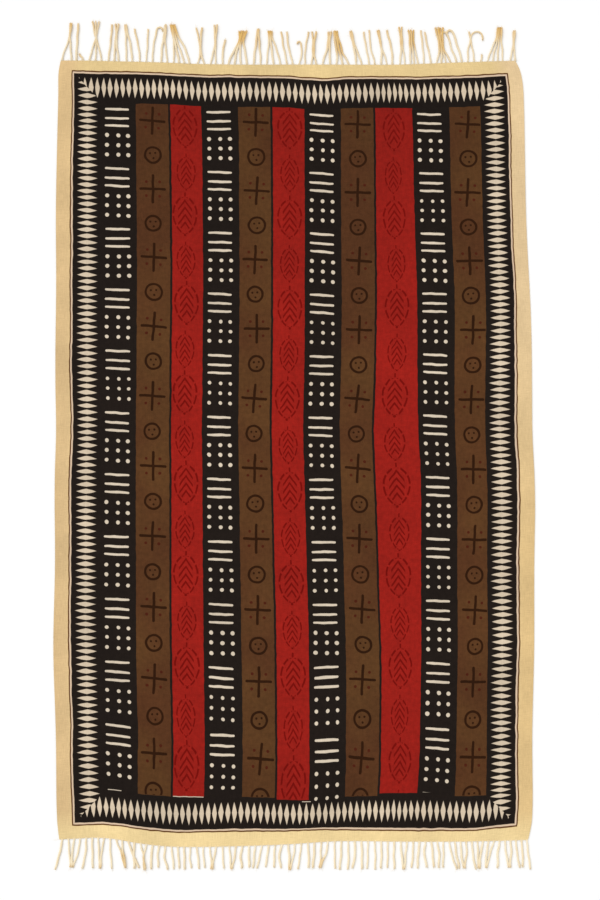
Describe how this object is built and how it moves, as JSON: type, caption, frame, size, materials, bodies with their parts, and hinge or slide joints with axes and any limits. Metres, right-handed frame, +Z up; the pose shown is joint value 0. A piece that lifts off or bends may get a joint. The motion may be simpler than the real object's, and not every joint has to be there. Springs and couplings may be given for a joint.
{
  "type": "bogolan mud cloth",
  "caption": "Flat rectangular cotton mud cloth, striped and printed with bars, dots, crosses, leaves and a lozenge border, with fringed short ends; laid as a wrap, throw or cover.",
  "frame": {"origin": "on the surface the cloth lies on, below the middle of its whole outline, fringes included", "axes": "+X across the width, +Y along the length towards the long-fringed end, +Z up out of the printed face"},
  "size_m": [1.1342, 2.0084, 0.0024],
  "materials": {
    "printed_cotton": "matt plain-weave cotton, printed in black, brown, red and cream on a tan ground",
    "fringe_yarn": "matt undyed tan cotton yarn, loosely twisted"
  },
  "bodies": {
    "root": {"cloth": "printed_cotton", "fringe_top": "fringe_yarn", "fringe_bottom": "fringe_yarn"}
  },
  "joints": []
}
